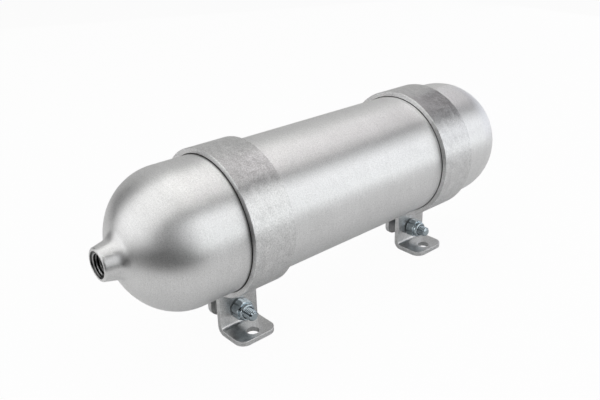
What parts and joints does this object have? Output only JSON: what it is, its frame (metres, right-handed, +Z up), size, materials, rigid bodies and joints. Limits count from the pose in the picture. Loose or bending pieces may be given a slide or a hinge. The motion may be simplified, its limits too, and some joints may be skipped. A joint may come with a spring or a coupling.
{
  "type": "compressed air tank",
  "caption": "Slim seamless aluminium air tank with domed ends and a threaded neck, held in strap clamps whose bent feet bolt to a flat surface.",
  "frame": {"origin": "on the plane that the feet stand on, midway between the two foot holes", "axes": "+X along the tank from the threaded port to the closed end, +Z up out of the feet, the feet reach out to the -Y side of the tank"},
  "size_m": [0.3843, 0.1102, 0.1445],
  "materials": {
    "tank_aluminium": "satin, turned and finely grained",
    "clamp_aluminium": "mill finish, mottled",
    "zinc_steel": "bright zinc plated",
    "nylon": "plain nylon"
  },
  "bodies": {
    "root": {"tank_shell": "tank_aluminium", "front_clamp": "clamp_aluminium", "front_bolt": "zinc_steel", "front_lock_nut": "zinc_steel", "front_nut_insert": "nylon", "rear_clamp": "clamp_aluminium", "rear_bolt": "zinc_steel", "rear_lock_nut": "zinc_steel", "rear_nut_insert": "nylon"}
  },
  "joints": []
}
